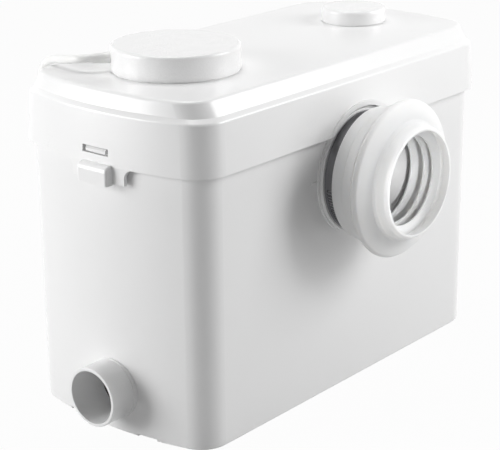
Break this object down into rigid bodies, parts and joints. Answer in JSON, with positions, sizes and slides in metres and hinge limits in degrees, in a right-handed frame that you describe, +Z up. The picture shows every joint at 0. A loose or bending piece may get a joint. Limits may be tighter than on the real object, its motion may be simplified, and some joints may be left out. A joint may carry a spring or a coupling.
{
  "type": "macerator toilet pump",
  "caption": "Compact macerator pump for a toilet: white clipped tank, rubber pan connector in front, low waste stub at one end, motor and pressure switch inside.",
  "frame": {"origin": "middle of the tank's underside, on the floor that it stands on", "axes": "+X along the long side away from the low waste stub, -Y out of the pan connector, +Z up"},
  "size_m": [0.4116, 0.3611, 0.2892],
  "materials": {
    "tank_plastic": "smooth moulded white plastic",
    "lid_plastic": "smooth moulded white plastic",
    "trim_plastic": "glossy white plastic",
    "white_rubber": "soft white rubber with a satin skin",
    "black_rubber": "matt black rubber",
    "stainless": "rolled stainless strip",
    "screw_steel": "zinc-plated steel",
    "shaft_steel": "ground stainless steel",
    "cutter_steel": "hardened stainless steel",
    "lamination": "stacked electrical sheet",
    "copper": "enamelled copper wire",
    "can_metal": "drawn aluminium can",
    "grey_plastic": "matt grey moulded plastic",
    "black_plastic": "matt black moulded plastic",
    "carbon": "active carbon in black foam",
    "cord_sheath": "flexible white cord sheath",
    "plug_brass": "nickel-plated brass"
  },
  "bodies": {
    "casing": {"tank": "tank_plastic", "lid": "lid_plastic", "lid_gasket": "black_rubber", "inlet_ring": "trim_plastic", "pan_sleeve": "white_rubber", "clamp_band": "stainless", "clamp_case": "stainless", "waste_flap_pin": "shaft_steel", "motor_cover": "trim_plastic", "cover_screws": "screw_steel", "carbon_filter": "carbon", "motor_can": "can_metal", "stator": "lamination", "windings": "copper", "lower_bearing": "shaft_steel", "upper_bearing": "shaft_steel", "pump_column": "grey_plastic", "shaft_seal": "black_rubber", "volute": "grey_plastic", "basket": "black_plastic", "discharge_pipe": "black_rubber", "valve_box": "grey_plastic", "valve_pin": "shaft_steel", "pressure_tube": "grey_plastic", "diaphragm": "black_rubber", "switch_housing": "black_plastic", "switch_lid": "black_plastic", "microswitch": "black_plastic", "capacitor": "can_metal", "terminal_box": "black_plastic", "cord_boot": "cord_sheath", "supply_cord": "cord_sheath", "cord_coil": "cord_sheath", "coil_tie": "black_plastic", "cord_tail": "cord_sheath", "plug_body": "cord_sheath", "plug_pins": "plug_brass"},
    "rotor": {"motor_shaft": "shaft_steel", "rotor_core": "lamination", "impeller": "grey_plastic", "cutter": "cutter_steel"},
    "latch_left": {"latch_left": "trim_plastic"},
    "latch_right": {"latch_right": "trim_plastic"},
    "vent_cap": {"vent_cap": "trim_plastic"},
    "waste_flap": {"waste_flap": "black_rubber"},
    "check_flap": {"valve_flap": "black_rubber"},
    "plunger": {"plunger": "grey_plastic"},
    "switch_lever": {"switch_lever": "screw_steel"},
    "clamp_screw": {"clamp_screw": "screw_steel"}
  },
  "joints": [
    {"name": "rotor_spin", "type": "hinge", "parent": "casing", "child": "rotor", "pos_m": [-0.1028, 0, 0.14], "axis": [0, 0, 1], "continuous": true},
    {"name": "latch_left_flex", "type": "hinge", "parent": "casing", "child": "latch_left", "pos_m": [-0.1887, -0.001, 0.2098], "axis": [0, 1, 0], "range_deg": [0, 10], "stiffness_Nm_per_rad": 1.2},
    {"name": "latch_right_flex", "type": "hinge", "parent": "casing", "child": "latch_right", "pos_m": [0.1887, -0.001, 0.2098], "axis": [0, -1, 0], "range_deg": [0, 10], "stiffness_Nm_per_rad": 1.2},
    {"name": "vent_cap_lift", "type": "slide", "parent": "casing", "child": "vent_cap", "axis": [0, 0, 1], "range_m": [0, 0.025]},
    {"name": "waste_flap_swing", "type": "hinge", "parent": "casing", "child": "waste_flap", "pos_m": [-0.1775, -0.0054, 0.0611], "axis": [0, -1, 0], "range_deg": [0, 30]},
    {"name": "check_flap_swing", "type": "hinge", "parent": "casing", "child": "check_flap", "pos_m": [0.06, 0.05525, 0.1641], "axis": [1, 0, 0], "range_deg": [0, 60]},
    {"name": "plunger_lift", "type": "slide", "parent": "casing", "child": "plunger", "axis": [0, 0, 1], "range_m": [0, 0.002], "stiffness_N_per_m": 400},
    {"name": "switch_lever_turn", "type": "hinge", "parent": "casing", "child": "switch_lever", "pos_m": [0.082, -0.036, 0.2347], "axis": [0, 1, 0], "range_deg": [0, 9]},
    {"name": "clamp_screw_turn", "type": "hinge", "parent": "casing", "child": "clamp_screw", "pos_m": [0.04792, -0.1001, 0.14826], "axis": [-0.6157, 0, -0.788], "continuous": true}
  ],
  "couplings": [
    {"joint": "switch_lever_turn", "follows": "plunger_lift", "rad_per_m": 71.43}
  ]
}
